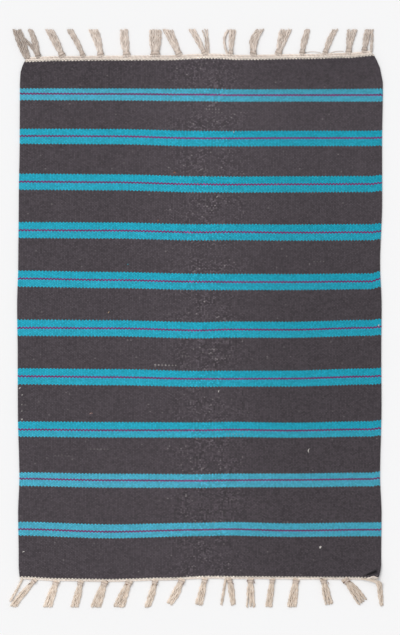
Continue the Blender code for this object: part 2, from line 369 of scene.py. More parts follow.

# %% [markdown]
# ## Relief in the sheet
#
# The weave attribute was copied to the lower face by Solidify, so every point still knows its warp and
# pick, and its height can be worked out from them in one go. The lower face stays level on the floor.
# The third number of the attribute is still free. It keeps how deep in the crease a point lies, and the
# material paints shade there, darker the deeper it lies.

# %% Puckers, the turned-up corner and its crease
Pucker = namedtuple("Pucker", "height wave heading phase")
PUCKERS = (
    Pucker(height=0.22, wave=210.0, heading=78.0, phase=0.4),
    Pucker(height=0.18, wave=137.0, heading=12.0, phase=2.1),
    Pucker(height=0.15, wave=93.0, heading=104.0, phase=4.0),
)
CURL_HEIGHT = 4.0
CURL_REACH = 42.0
CREASE_FROM = (273.0, -435.5)
CREASE_TO = (297.5, -427.0)
CREASE_HALF_WIDTH = 4.6
CREASE_TIP = 0.2  # its width where it starts, as a share of the full one
CREASE_RIM = 1.15
CREASE_START = 2.5  # how fast it deepens
CREASE_STOP = 1.12  # where it ends, as a share of its run
CREASE_FINISH = 7.0  # and how fast it ends there


def curl(x, y):
    """How far the turned-up corner stands off the floor at these places."""
    corner_x = float(selvedge_x("right", -HALF_LENGTH))
    return CURL_HEIGHT * ease(1 - np.hypot(x - corner_x, y + HALF_LENGTH) / CURL_REACH)


def pucker(x, y):
    """How far the low puckers lift the upper face at these places."""
    height = 0.0
    for wave in PUCKERS:
        turn = math.radians(wave.heading)
        travelled = x * math.cos(turn) + y * math.sin(turn)
        height = height + wave.height * np.sin(2 * math.pi * travelled / wave.wave + wave.phase)
    return height


def hollow(x, y):
    """The crease, from 0 to 1 at its bottom: a furrow that widens and deepens towards the selvedge."""
    start = np.array(CREASE_FROM)
    run = np.array(CREASE_TO) - start
    length = np.hypot(*run)
    along = ((x - start[0]) * run[0] + (y - start[1]) * run[1]) / length**2
    aside = np.abs((x - start[0]) * run[1] - (y - start[1]) * run[0]) / length
    width = CREASE_HALF_WIDTH * np.clip(along, CREASE_TIP, 1.0)
    lengthwise_depth = ease(along * CREASE_START) * ease((CREASE_STOP - along) * CREASE_FINISH)
    return lengthwise_depth * ease(CREASE_RIM - aside / width)


print("the corner stands off the floor, in mm:", round(float(curl(HALF_WIDTH, -HALF_LENGTH)), 2))

# %% Lift every point
RIB_HEIGHT = 0.35
SELVEDGE_LIP = 0.12  # half the thickness left at the very rim, as a share of the whole
END_LIP = 0.32
CREASE_DEPTH = 3.0
LEAST_THICKNESS = 0.4  # what the crease leaves of the cloth
ON_VALLEY = 0.1  # how near a count has to come to a whole warp to lie in the valley


def lip(inside, least):
    """Half the thickness, as a share of the whole, at this share of the way in from a rounded rim."""
    return least + (0.5 - least) * np.sqrt(1 - (1 - np.clip(inside, 0.0, 1.0)) ** 2)


points = points_of(cloth.data)
counts = np.empty(len(points) * 3)
cloth.data.attributes["weave"].data.foreach_get("vector", counts)
counts = counts.reshape(-1, 3)
warp, pick = counts[:, 0], counts[:, 1]
x, y = points[:, 0] / MM, points[:, 1] / MM
upper = points[:, 2] / MM > CLOTH_THICKNESS / 2

from_selvedge = np.minimum(warp, WARPS - warp)
from_end = np.minimum(pick, PICKS - pick)
inside = np.clip(np.minimum(from_selvedge, from_end / 2), 0.0, 1.0)
half = np.minimum(lip(from_selvedge, SELVEDGE_LIP), lip(from_end, END_LIP))
on_rib = np.where(np.abs(warp - np.rint(warp)) > ON_VALLEY, 0.5, -0.5)
top = CLOTH_THICKNESS * (0.5 + half) + (pucker(x, y) + RIB_HEIGHT * on_rib) * inside
creased = hollow(x, y)
top = np.maximum(top - CREASE_DEPTH * creased, LEAST_THICKNESS)
points[:, 2] = (curl(x, y) + np.where(upper, top, CLOTH_THICKNESS * (0.5 - half))) * MM
points += np.array(CLOTH_MIDDLE) * MM
move_points(cloth.data, points)
# The crease's depth goes into the attribute, and the material paints shade there from it.
counts[:, 2] = np.where(upper, creased, 0.0)
cloth.data.attributes["weave"].data.foreach_set("vector", counts.ravel())
cloth.data.shade_smooth()
print("highest point of the cloth, in mm:", round(points[:, 2].max() / MM, 2))

# %% [markdown]
# ## Writing materials as sums
#
# A pattern that is counted in warps and picks needs a good deal of arithmetic. Built by hand it would
# be a page of Math nodes, so a small class stands for a socket instead, and a sum written on it adds
# the nodes. Everything else that a material needs comes from one method that adds any kind of node.

# %% A socket that does sums
def math_node(operation):
    """A method that adds one kind of Math node."""
    return lambda wire, *others: wire.finish.math(operation, wire, *others)


class Wire:
    """One output socket of a material. A sum written on it adds Math nodes."""

    __add__ = __radd__ = math_node("ADD")
    __mul__ = __rmul__ = math_node("MULTIPLY")
    __sub__ = math_node("SUBTRACT")
    __truediv__ = math_node("DIVIDE")
    __pow__ = math_node("POWER")
    __abs__ = math_node("ABSOLUTE")

    def __init__(self, finish, socket):
        self.finish = finish
        self.socket = socket

    def __rsub__(self, other):
        return self.finish.math("SUBTRACT", other, self)

    def math(self, operation, *others):
        return self.finish.math(operation, self, *others)

    def over_zero(self):
        return self.math("MAXIMUM", 0.0)

    def clamped(self):
        return self.over_zero().math("MINIMUM", 1.0)


print("ready to write sums")

# %% A material that adds its own nodes
COTTON_ROUGHNESS = 0.95
COTTON_SHINE = 0.15
FUZZ_ROUGHNESS = 0.6


class Finish:
    """A material whose nodes are all added by one method."""

    def __init__(self, name):
        self.material = bpy.data.materials.new(name)
        self.material.use_nodes = True
        self.tree = self.material.node_tree
        self.shader = self.tree.nodes["Principled BSDF"]

    def feed(self, socket, value):
        """Links a wire to a socket, or sets its value."""
        if isinstance(value, Wire):
            self.tree.links.new(value.socket, socket)
        else:
            socket.default_value = value

    def node(self, kind, settings=None, sockets=None, output=0):
        """Adds a node, sets it up, feeds its sockets and returns one of its outputs."""
        node = self.tree.nodes.new(kind)
        for name, value in (settings or {}).items():
            setattr(node, name, value)
        for key, value in (sockets or {}).items():
            self.feed(node.inputs[key], value)
        return Wire(self, node.outputs[output])

    def math(self, operation, *values):
        return self.node("ShaderNodeMath", {"operation": operation}, dict(enumerate(values)))

    def mix(self, share, first, second):
        """A colour that goes from the first to the second as share goes from 0 to 1."""
        # A Mix node has sockets for numbers and vectors too. Its colours are sockets 6 and 7.
        sockets = {0: share, 6: first, 7: second}
        return self.node("ShaderNodeMix", {"data_type": "RGBA"}, sockets, output=2)

    def scale(self, colour, by):
        return self.node("ShaderNodeVectorMath", {"operation": "SCALE"}, {0: colour, 3: by})

    def vector(self, x, y, z=0.0):
        return self.node("ShaderNodeCombineXYZ", None, {0: x, 1: y, 2: z})

    def noise(self, place, scale, detail=2.0):
        """Smooth noise around 0.5."""
        sockets = {"Vector": place, "Scale": scale, "Detail": detail}
        return self.node("ShaderNodeTexNoise", {"noise_dimensions": "3D"}, sockets)

    def chance(self, place):
        """A number from 0 to 1 that is different in each whole place."""
        return self.node("ShaderNodeTexWhiteNoise", {"noise_dimensions": "3D"}, {"Vector": place})

    def bump(self, height, depth):
        return self.node("ShaderNodeBump", None, {"Height": height, "Distance": depth})

    def surface(self, colour, normal, sheen):
        """Closes the material as dull cotton with a little fuzz."""
        self.feed(self.shader.inputs["Base Color"], colour)
        self.feed(self.shader.inputs["Normal"], normal)
        self.shader.inputs["Roughness"].default_value = COTTON_ROUGHNESS
        self.shader.inputs["Specular IOR Level"].default_value = COTTON_SHINE
        self.shader.inputs["Sheen Weight"].default_value = sheen
        self.shader.inputs["Sheen Roughness"].default_value = FUZZ_ROUGHNESS
        return self.material


def dress(piece, material, node):
    """Gives a piece its material, hangs it on the root and hides the solid that it takes the place of."""
    piece.data.materials.clear()
    piece.data.materials.append(material)
    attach(piece, "root")
    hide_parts(node)
    return piece


print("ready to write materials")

# %% [markdown]
# ## The weave
#
# In a weft-faced cloth a pick shows only where it passes over a warp, and the next pick shows on the
# warps between. So each warp is a stack of beads two picks tall, and neighbouring stacks are half a
# bead out of step. That alone gives the saw-toothed edge wherever the yarn changes, and makes the two
# plum picks into a zigzag. The material finds which warp and which pick a point is on, and every
# colour follows from the number of that pick.

# %% Find the bead
BEAD_BULGE = 0.13
BEAD_SWAY = 0.22
BEAD_DRIFT = 0.25

# Everything uneven in the cloth is smooth noise. The rows say how far it moves on from one warp to the
# next and from one pick to the next. A big step makes each warp, or each pick, unlike the one beside it.
Unevenness = namedtuple("Unevenness", "per_warp per_pick seed detail scale", defaults=(1.0,))
UNEVENNESS = {
    "sway": Unevenness(0.8, 0.3, 0.0, 1.0),
    "drift": Unevenness(0.5, 0.4, 7.0, 1.0),
    "pick": Unevenness(0.05, 7.31, 0.0, 2.0),
    "warp": Unevenness(5.13, 0.012, 0.0, 2.0),
    "fibre": Unevenness(3.0, 1.2, 0.0, 3.0, scale=2.2),
    "patch": Unevenness(0.11, 0.05, 0.0, 3.0),
    "wear": Unevenness(0.10, 0.045, 3.0, 1.0),
    "thin": Unevenness(0.16, 3.17, 4.0, 1.0),
}

woven = Finish("woven_cotton")
counted = woven.node("ShaderNodeAttribute", {"attribute_name": "weave"}, output="Vector")
warp_count = woven.node("ShaderNodeSeparateXYZ", None, {0: counted})
pick_count = Wire(woven, warp_count.socket.node.outputs["Y"])
crease_shading = Wire(woven, warp_count.socket.node.outputs["Z"])


def unevenness(kind, warps, picks):
    """Noise around 0.5 of one kind, at these counts of warps and picks."""
    row = UNEVENNESS[kind]
    place = woven.vector(warps * row.per_warp, picks * row.per_pick, row.seed)
    return woven.noise(place, row.scale, row.detail)


# Each bead bulges in the middle, between the ends of its neighbours, and its sides wander a little, so
# that no two are alike.
sway = unevenness("sway", warp_count, pick_count) - 0.5
drift = unevenness("drift", warp_count, pick_count) - 0.5
bulge = (pick_count * math.pi).math("COSINE") * ((warp_count - 1.0) * math.pi).math("COSINE")
spread = warp_count + sway * BEAD_SWAY + bulge * BEAD_BULGE
column = spread.math("FLOOR")
odd = column.math("FLOORED_MODULO", 2.0)
stack = (pick_count + odd) / 2.0 + drift * BEAD_DRIFT
bead = stack.math("FLOOR")
shown_pick = bead * 2.0 - odd
across = (spread - column) - 0.5
along = (stack - bead) - 0.5
print("nodes that find the bead:", len(woven.tree.nodes))

# %% Dye the picks
CHARCOAL = (0.100, 0.084, 0.096, 1.0)
DEEP_TURQUOISE = (0.015, 0.530, 0.735, 1.0)
PALE_TURQUOISE = (0.100, 0.580, 0.790, 1.0)
PLUM = (0.265, 0.030, 0.190, 1.0)
CREAM = (0.91, 0.82, 0.73, 1.0)
NEAR_CREAM = 2  # cream picks that close each end
FAR_CREAM = 3
PAST_END = 2  # picks past the ends, so that the rounded rims are cream as well
ON_PICK = 0.25  # how near a count has to come to a pick's number
SIDE_FADE = 0.12


def picks_between(first, last):
    """1 on the picks from first to last, and 0 elsewhere."""
    return shown_pick.math("COMPARE", (first + last) / 2, (last - first) / 2 + ON_PICK)


turquoise = 0.0
tint = 0.0
plum = 0.0
for stripe in STRIPES:
    line = plum_pick(stripe)
    below = picks_between(line - stripe.below, line - 1)
    above = picks_between(line + 2, line + 1 + stripe.above)
    turquoise = turquoise + below + above
    tint = tint + below * stripe.tint_below + above * stripe.tint_above
    plum = plum + picks_between(line, line + 1)
cream = picks_between(-PAST_END, NEAR_CREAM - 1) + picks_between(PICKS - FAR_CREAM, PICKS + PAST_END)

tint = tint + (1.0 - warp_count / WARPS) * SIDE_FADE
dyed = woven.mix(turquoise, CHARCOAL, woven.mix(tint, DEEP_TURQUOISE, PALE_TURQUOISE))
dyed = woven.mix(plum, dyed, PLUM)
dyed = woven.mix(cream, dyed, CREAM)
print("nodes with the dyes:", len(woven.tree.nodes))

# %% [markdown]
# ## Wear, slubs and the bare warp
#
# Hand-spun cotton is never even. Each bead takes the dye a little differently, each pick is a little
# lighter or darker along its length, and each warp makes a rib that is a little fuller or thinner. The
# turquoise took its dye more evenly than the charcoal, and didn't fade along the fold. Where the weft is
# thin the pale warp grins through, as a short row of light dots on every second warp. The cloth is
# rubbed lighter along the old fold down the middle, and painted shade darkens it towards the right.

# %% Uneven yarn
BEAD_UNEVEN = 0.42
PICK_UNEVEN = 0.32
WARP_UNEVEN = 0.15
FIBRE_UNEVEN = 0.40
PATCH_UNEVEN = 0.25
EVENER_SIDE = 0.15
EVENER_DYE = 0.60
EVENER_BEADS = 0.35
RIGHT_SIDE_PAINTED_SHADE = 0.17
DEEPER_FAR_END = 0.10
PLAIN_TONE = 1.04
# Where these changes start, as shares of the width or the length, and how steep they are.
SIDE_START, SIDE_SLOPE = 0.5, 4.5
DOWN_START, DOWN_SLOPE = 0.85, 2.9
FAR_END_START, FAR_END_SLOPE = 0.92, 25.0

by_bead = woven.chance(woven.vector(column, bead)) - 0.5
by_pick = unevenness("pick", warp_count, shown_pick) - 0.5
by_warp = unevenness("warp", column, pick_count) - 0.5
by_fibre = unevenness("fibre", warp_count, pick_count) - 0.5
by_patch = unevenness("patch", warp_count, pick_count) - 0.5
to_right = ((warp_count / WARPS - SIDE_START) * SIDE_SLOPE).clamped()
fine = by_bead * BEAD_UNEVEN + by_fibre * FIBRE_UNEVEN
broad = by_pick * PICK_UNEVEN + by_warp * WARP_UNEVEN + by_patch * PATCH_UNEVEN
uneven = fine * (1.0 - turquoise * EVENER_BEADS) + broad * (1.0 - turquoise * EVENER_DYE)
tone = PLAIN_TONE + uneven * (1.0 - to_right * EVENER_SIDE)

down_rug = ((DOWN_START - pick_count / PICKS) * DOWN_SLOPE).clamped()
at_far_end = ((pick_count / PICKS - FAR_END_START) * FAR_END_SLOPE).clamped()
# Painted shade: darker towards the right, most towards the near end and on the turquoise, for light from
# the left.
painted_right_shade = to_right * down_rug.math("MAXIMUM", turquoise)
tone = tone - painted_right_shade * RIGHT_SIDE_PAINTED_SHADE - at_far_end * DEEPER_FAR_END
print("nodes with the uneven yarn:", len(woven.tree.nodes))

# %% The fold and the bare warp
FOLD_WARP = WARPS * 0.51
FADED_HALF_WIDTH = 62.0
FADED = 0.05
FADED_FAR = 0.22
WORN_HALF_WIDTH = 24.0
WORN_CORE = 1.2
WORN_LIGHTER = 1.7
WORN_DARKER = 0.2
WORN_TURQUOISE = 0.04
WORN_FROM, WORN_SLOPE = 0.33, 3.0
TURQUOISE_COVER = 0.7  # how well the turquoise hides wear and the warp
THIN_FROM, THIN_SLOPE = 0.62, 1.3
DOT_SEED = 9.0
DOT_LUCK = 0.994
DOT_LUCK_WORN = 0.07
DOT_STRENGTH = 0.12
DOT_UNEVEN = 0.2
BAREST = 0.95
BARE_WARP = (0.40, 0.37, 0.36, 1.0)

# Rows of dots where the warp grins through, by the place of their middle on the cloth.
Grin = namedtuple("Grin", "x y length strength")
GRINS = (
    Grin(-60, -80, 38, 0.62),
    Grin(-172, -222, 36, 0.24),
    Grin(-24, -65, 16, 0.18),
    Grin(20, -52, 16, 0.22),
    Grin(46, -65, 18, 0.18),
    Grin(36, -69, 26, 0.14),
    Grin(60, -307, 15, 0.20),
    Grin(-24, -301, 7, 0.40),
    Grin(60, -197, 32, 0.90),
    Grin(200, 95, 22, 0.18),
    Grin(205, 137, 18, 0.12),
    Grin(185, 90, 4, 0.30),
    Grin(22, 352, 26, 0.20),
    Grin(16, 357, 18, 0.16),
    Grin(28, 346, 20, 0.16),
    Grin(-230, -233, 34, 0.14),
)

from_fold = abs(warp_count - FOLD_WARP)
faded = (1.0 - from_fold / FADED_HALF_WIDTH).over_zero()
tone = tone + faded * (FADED + (pick_count / PICKS) ** 2.0 * FADED_FAR) * (1.0 - turquoise)
patchy = ((unevenness("wear", warp_count, pick_count) - WORN_FROM) * WORN_SLOPE).clamped()
worn = (WORN_CORE - from_fold / WORN_HALF_WIDTH).clamped() * patchy
rubbed = by_bead.over_zero() * WORN_LIGHTER - WORN_DARKER
tone = tone + (rubbed * (1.0 - turquoise * TURQUOISE_COVER) - turquoise * WORN_TURQUOISE) * worn

grinning = 0.0
for grin in GRINS:
    grin_warp, grin_pick = count_at(grin.x, grin.y)
    half_run = grin.length / 2 / CLOTH_WIDTH * WARPS
    in_run = warp_count.math("COMPARE", grin_warp, half_run)
    on_pick = shown_pick.math("COMPARE", float(round(grin_pick)), ON_PICK)
    grinning = grinning + in_run * on_pick * grin.strength

worn_rows = (unevenness("thin", warp_count, shown_pick) - THIN_FROM).over_zero() * THIN_SLOPE * worn
luck = woven.chance(woven.vector(column, bead, DOT_SEED))
chosen = (luck + worn * DOT_LUCK_WORN).math("GREATER_THAN", DOT_LUCK)
lone_dots = chosen * (luck * DOT_STRENGTH + by_bead * DOT_UNEVEN)
bare = (grinning + worn_rows + lone_dots.over_zero()).math("MINIMUM", BAREST)
bare = bare * (1.0 - turquoise * TURQUOISE_COVER) * (1.0 - cream)
dyed = woven.mix(bare, dyed, BARE_WARP)
print("rows of bare warp:", len(GRINS), "nodes with the wear:", len(woven.tree.nodes))

# %% Shape the beads
BEAD_DEPTH = 0.7 * MM
RIB_SQUARENESS = 2.4
BEAD_SQUARENESS = 2.6
LEVEL = 0.001
TWIST_TURNS = 15.0
TWIST_ACROSS = 1.1
TWIST_ALONG = 2.0
TWIST_BY_COLUMN = 0.37
TWIST_DEPTH = 0.16
TWIST_PAINTED_SHADE = 0.3
FIBRE_DEPTH = 0.5
# Painted shade: how much the crevices round each bead darken its colour.
CREVICE_PAINTED_SHADE = 0.52
CREASE_PAINTED_SHADE = 0.76

rib = 1.0 - abs(across * 2.0) ** RIB_SQUARENESS
oval = 1.0 - abs(along * 2.0) ** BEAD_SQUARENESS
rounded = (rib * oval + LEVEL).over_zero() ** 0.5
twined = across * TWIST_ACROSS + along * TWIST_ALONG + column * TWIST_BY_COLUMN
twist = (twined * TWIST_TURNS).math("SINE") * TWIST_DEPTH
relief_height = rounded + twist * rounded + by_fibre * FIBRE_DEPTH
# Painted shade: the colour is darkened in the crevices round each bead and in the grooves of its twist.
shade = (1.0 - CREVICE_PAINTED_SHADE) + rounded * CREVICE_PAINTED_SHADE + twist * rounded * TWIST_PAINTED_SHADE
# Painted shade in the crease: the colour is darkened the deeper a point lies in it.
shade = shade * (1.0 - crease_shading * CREASE_PAINTED_SHADE)
dyed = woven.scale(woven.scale(dyed, tone), shade)
woven.surface(dyed, woven.bump(relief_height, BEAD_DEPTH), sheen=0.04)
dress(cloth, woven.material, "woven_cloth")
print("nodes in the weave:", len(woven.tree.nodes))

# %% [markdown]
# ## Yarn
#
# The headings, the knots and the tassels are all the same undyed cotton, so they share one way of
# making a yarn: a curve with a round bevel, turned into a mesh. A curve is easy to lead where it should
# go, and when it becomes a mesh it brings a UV map that runs along the yarn and round it. The twist of
# the plies is drawn in that map, so it winds round every yarn however it lies. Each point of a yarn also
# says how light it is, because hand-spun cotton is never one tone and because painted shade darkens the
# yarns round the knots, and that is kept in an attribute.

# %% Make yarns from routes
WELD = 1e-7  # points nearer than this, in metres, become one

# One point of a yarn's route: its place, how thick the yarn is there and how light.
Spot = namedtuple("Spot", "x y z fullness tone")


def lay_yarns(name, yarns, radius, roundness, closed=False):
    """One mesh of many round yarns, each of them a list of spots, in mm."""
    curve = bpy.data.curves.new(name, "CURVE")
    curve.dimensions = "3D"
    curve.bevel_depth = radius * MM
    curve.bevel_resolution = roundness
    curve.use_fill_caps = not closed
    for yarn in yarns:
        spline = curve.splines.new("POLY")
        spline.points.add(len(yarn) - 1)
        spline.use_cyclic_u = closed
        for point, spot in zip(spline.points, yarn):
            point.co = (*((Vector((spot.x, spot.y, spot.z)) + CLOTH_MIDDLE) * MM), 1.0)
            point.radius = spot.fullness
    piece = bpy.data.objects.new(name, curve)
    scene.collection.objects.link(piece)
    bpy.ops.object.select_all(action="DESELECT")
    piece.select_set(True)
    bpy.context.view_layer.objects.active = piece
    bpy.ops.object.convert(target="MESH")

    # The mesh starts with the two caps of every yarn, from the last to the first, and goes on with the
    # tubes from the first to the last.
    cap_tones = [] if closed else [yarn[-1].tone for yarn in reversed(yarns)]
    tones = [spot.tone for yarn in yarns for spot in yarn]
    sides = len(piece.data.vertices) // (len(tones) + 2 * len(cap_tones))
    tone = piece.data.attributes.new("tone", "FLOAT", "POINT")
    tone.data.foreach_set("value", [*np.repeat(cap_tones, 2 * sides), *np.repeat(tones, sides)])

    bpy.ops.object.mode_set(mode="EDIT")
    bpy.ops.mesh.select_all(action="SELECT")
    bpy.ops.mesh.remove_doubles(threshold=WELD)
    bpy.ops.mesh.normals_make_consistent(inside=False)
    bpy.ops.object.mode_set(mode="OBJECT")
    piece.data.shade_smooth()
    print(name, "yarns:", len(yarns), "faces:", len(piece.data.polygons))
    return piece


# %% Two-ply undyed cotton
FLUFF_SCALE = 1100.0
FLUFF_UNEVEN = 0.25
FLUFF_RELIEF = 0.6
PATCH_SCALE = 220.0
PATCH_CONTRAST = 1.6
PATCH_DARKER = 0.3
DARK_WITH_TONE = 0.9  # how much of the dark tint a darker yarn gets
PLY_PAINTED_SHADE = 0.20
PLY_BLEND = 0.5
PLY_ROUNDNESS = 0.6
YARN_RELIEF = 0.4 * MM


def undyed_yarn(name, turns, dark, light):
    """Two-ply undyed cotton, twisted this many times along each yarn, from a dark to a light tint."""
    yarn = Finish(name)
    uv = yarn.node("ShaderNodeUVMap", {"uv_map": "UVMap"})
    along_yarn = yarn.node("ShaderNodeSeparateXYZ", None, {0: uv})
    round_yarn = Wire(yarn, along_yarn.socket.node.outputs["Y"])
    tone = yarn.node("ShaderNodeAttribute", {"attribute_name": "tone"}, output="Fac")
    place = yarn.node("ShaderNodeTexCoord", output="Object")
    ply = abs(((along_yarn * turns + round_yarn) * math.pi * 2).math("SINE"))
    fluff = yarn.noise(place, FLUFF_SCALE, 3.0) - 0.5
    patch = yarn.noise(place, PATCH_SCALE) * PATCH_CONTRAST - PATCH_DARKER
    colour = yarn.mix(patch - (1.0 - tone) * DARK_WITH_TONE, (*dark, 1.0), (*light, 1.0))
    # Painted shade in the grooves between the plies, with random fluff making spots lighter and darker.
    shade = (1.0 - PLY_PAINTED_SHADE) + PLY_PAINTED_SHADE * (ply ** PLY_BLEND) + fluff * FLUFF_UNEVEN
    normal = yarn.bump(ply ** PLY_ROUNDNESS + fluff * FLUFF_RELIEF, YARN_RELIEF)
    return yarn.surface(yarn.scale(colour, shade * tone), normal, sheen=0.1)


print("a ply's shade and relief, in mm:", PLY_PAINTED_SHADE, round(YARN_RELIEF / MM, 2))

# %% [markdown]
# ## The headings
#
# At each end a two-ply cord is twined along the last pick and locks it in place, and the far end has a
# second cord outside the first. A cord is modelled as it is made: two yarns that wind round one line,
# which follows the end of the cloth. At the turned-up corner the cord has slipped a little way onto the
# cloth.

# %% Twine the heading cords
CORD_WIDTH = 3.6
CORDS_OFF_END = {"far": (0.5, 3.7), "near": (-0.2,)}
CORD_HEIGHT = 2.3
PLY_RADIUS = 1.02
TWINE_PITCH = 7.5
TWINE_STEP = 0.9
SLIP_AT = 292.0
SLIP_REACH = 7.0
SLIP = 4.4
SLIP_RISE = 2.4
SLIP_DARKER = 0.2
CORD_TONE = 1.12
PLY_DARKER = 0.08
CORD_UNEVEN = 0.06
CORD_WAVE = 23.0
NEXT_CORD_TURN = 0.3

chance = np.random.default_rng(21)  # every random draw from here on comes from this one seed


def slipped(end, x):
    """How far the cord has slipped onto the cloth at these X, from 0 to 1."""
    return np.exp(-(((x - SLIP_AT) / SLIP_REACH) ** 2)) * (end == "near")


def heading_yarns(end):
    """The plies of the cords along one end."""
    edge = outward(end) * HALF_LENGTH
    x = np.arange(selvedge_x("left", edge) + PLY_RADIUS, selvedge_x("right", edge) - PLY_RADIUS, TWINE_STEP)
    swing = CORD_WIDTH / 2 - PLY_RADIUS
    yarns = []
    for cord, off_end in enumerate(CORDS_OFF_END[end]):
        y = end_y(end, x) + outward(end) * (off_end - SLIP * slipped(end, x))
        for ply in (0, 1):
            turn = 2 * math.pi * (x / TWINE_PITCH + ply / 2 + cord * NEXT_CORD_TURN)
            ply_y = y + swing * np.cos(turn)
            ply_z = curl(x, y) + CORD_HEIGHT + SLIP_RISE * slipped(end, x) + swing * np.sin(turn)
            tone = CORD_TONE - PLY_DARKER * ply + CORD_UNEVEN * np.sin(x / CORD_WAVE + ply + cord)
            tone = tone - SLIP_DARKER * slipped(end, x)
            yarns.append([Spot(*spot) for spot in zip(x, ply_y, ply_z, np.ones_like(x), tone)])
    return yarns


heading_finish = undyed_yarn("heading_yarn", turns=190.0, dark=(0.82, 0.69, 0.61), light=(0.95, 0.87, 0.79))
for end in ("far", "near"):
    heading = lay_yarns(f"{end}_heading_cord", heading_yarns(end), PLY_RADIUS, roundness=2)
    dress(heading, heading_finish, f"{end}_fringe")

# %% [markdown]
# ## The tassels
#
# Each tassel is a dozen or more warp ends, tied in a knot against the heading and then left loose. No
# two lie alike, so a table says how each one leans, bows, widens and parts into fingers. The yarns lie
# in two layers. Each has its own slot in its tassel, and its own crimp, because it keeps the waves
# that it had round the wefts before they were drawn out.

# %% How every tassel lies
# Root is the place across the rug and lean is in degrees from straight out, positive towards +X. Bow is
# the swing of the middle, flare how much wider the tips are, and gap the distance between the yarns.
# Run is how far the yarns follow the heading before they turn out.
Tassel = namedtuple(
    "Tassel",
    "root lean bow length width flare fingers tone gap knot run",
    defaults=(1.0, 1, 1.0, 2.3, True, 0),
)
TASSELS = {
    "far": (
        Tassel(-295, -22, -1.5, 56, 8, flare=1.1, tone=0.7, knot=False),
        Tassel(-290.5, -19, 0.5, 54, 8, flare=1.2, tone=0.72, knot=False),
        Tassel(-273.5, -17.5, 2, 50, 11.5, flare=0.66, fingers=2, tone=0.74),
        Tassel(-274.5, -40, 3, 41, 6, flare=1.1, tone=0.68, knot=False),
        Tassel(-233, -27, 1, 53, 14.5, flare=0.95, fingers=2, tone=0.9),
        Tassel(-198, -27, 1, 52, 10.5, flare=0.95, tone=0.87),
        Tassel(-168, -17, 2, 48, 14.5, flare=1.15, fingers=2, tone=1.02),
        Tassel(-124, -6, -1, 46, 16, flare=0.86, fingers=2),
        Tassel(-76, 0, 0, 46, 21, flare=1.03, fingers=2, tone=0.91),
        Tassel(-36, -25.5, 1, 52, 14.5, flare=1.3, tone=0.95),
        Tassel(7, -28, 1, 52, 10.5, flare=1.1, fingers=2, tone=0.97),
        Tassel(11.5, -7, 2.5, 46, 11, flare=1.6, tone=0.97, gap=4.4, knot=False),
        Tassel(46, 5, -7, 46, 4.4, flare=1.2, tone=0.95, knot=False),
        Tassel(51.5, 4.5, 0, 46, 10, flare=1.35, fingers=2, tone=0.95),
        Tassel(90, 16, -5.5, 47, 15.5, flare=0.9, tone=0.85),
        Tassel(132, 18, -1, 47, 15.5, flare=1.3, fingers=2, tone=0.9),
        Tassel(172, 12.5, -1, 45, 11.5, tone=0.83),
        Tassel(211, 24, -2, 49, 11.5, flare=0.95, tone=0.87),
        Tassel(250.5, 10, -1, 44, 13, flare=1.55, fingers=2, tone=0.86),
        Tassel(277, 9, 0, 43, 12, flare=1.0, tone=0.8),
        Tassel(289, 3, 0, 42, 5, flare=2.2, tone=0.8, knot=False),
    ),
    "near": (
        Tassel(-301, -28.5, 0.5, 43, 3.4, flare=0.3, knot=False),
        Tassel(-279.5, -40, 0, 60, 10, flare=1.4, fingers=2),
        Tassel(-243, -19, 0, 48, 14.5, flare=1.15, fingers=2, tone=1.05),
        Tassel(-202, -14, 1, 47, 13, flare=1.1, fingers=2),
        Tassel(-161, -20, 0, 48, 15, flare=1.25, fingers=2, tone=0.96),
        Tassel(-120, -22, 0, 49, 16, flare=1.25, fingers=2, tone=0.97),
        Tassel(-76, -17, 1, 48, 12.5, flare=1.08, tone=0.97),
        Tassel(-31, -27.5, 1, 46, 14, flare=0.85, tone=0.98),
        Tassel(8, -13, 0, 45.5, 12.5, flare=1.1, fingers=2, tone=0.98),
        Tassel(43, -9, 0, 45, 3.6, flare=2.3, tone=0.93, knot=False),
        Tassel(49, 8, 1, 45, 12, flare=0.75, tone=0.93),
        Tassel(85, 0, 0, 48, 14, flare=1.15, fingers=3, tone=0.94),
        Tassel(122, -8, 0, 48, 11.5, flare=1.1, fingers=2, tone=0.93),
        Tassel(162, -9, 0, 48, 14.5, flare=1.15, fingers=2, tone=0.95),
        Tassel(208, 13, 0, 43.5, 14, flare=1.05, fingers=3, tone=0.89),
        Tassel(245, 38, 1, 48, 16, flare=1.2, fingers=4, tone=0.84),
        Tassel(301.5, 6, 0.5, 44, 9, flare=0.8, tone=0.87, knot=False, run=28),
    ),
}
print("tassels:", {end: len(rows) for end, rows in TASSELS.items()})

# %% Shape a tassel
ROOT_OFF_CORD = 2.0
KNOT_END = 4.8  # how far down a tassel its knot reaches
ROOT_SPREAD = 0.76  # widths as shares of the full one: at the root, and at the neck below the knot
NECK = 0.60
FULL_AT = 0.45
FLARE_FROM = 0.3
# The tips are trimmed along one line at each end.
TRIMMED_AT = {"far": 488.6, "near": -487.8}


def root_of(end, tassel):
    """Y of the root of a tassel, just outside the heading."""
    return float(end_y(end, tassel.root)) + outward(end) * (CORDS_OFF_END[end][-1] + ROOT_OFF_CORD)


def tassel_point(end, tassel, reach, aside, height):
    """A point `reach` down a tassel from the heading, `aside` to its right and `height` up."""
    turn = math.radians(tassel.lean)
    root_y = root_of(end, tassel)
    sideways = aside + tassel.bow * math.sin(math.pi * reach / tassel.length)
    x = tassel.root + reach * math.sin(turn) + sideways * math.cos(turn)
    y = root_y + outward(end) * (reach * math.cos(turn) - sideways * math.sin(turn))
    lifted = float(curl(tassel.root, root_y) * ease(1 - 2 * reach / tassel.length))
    return x, y, lifted + height


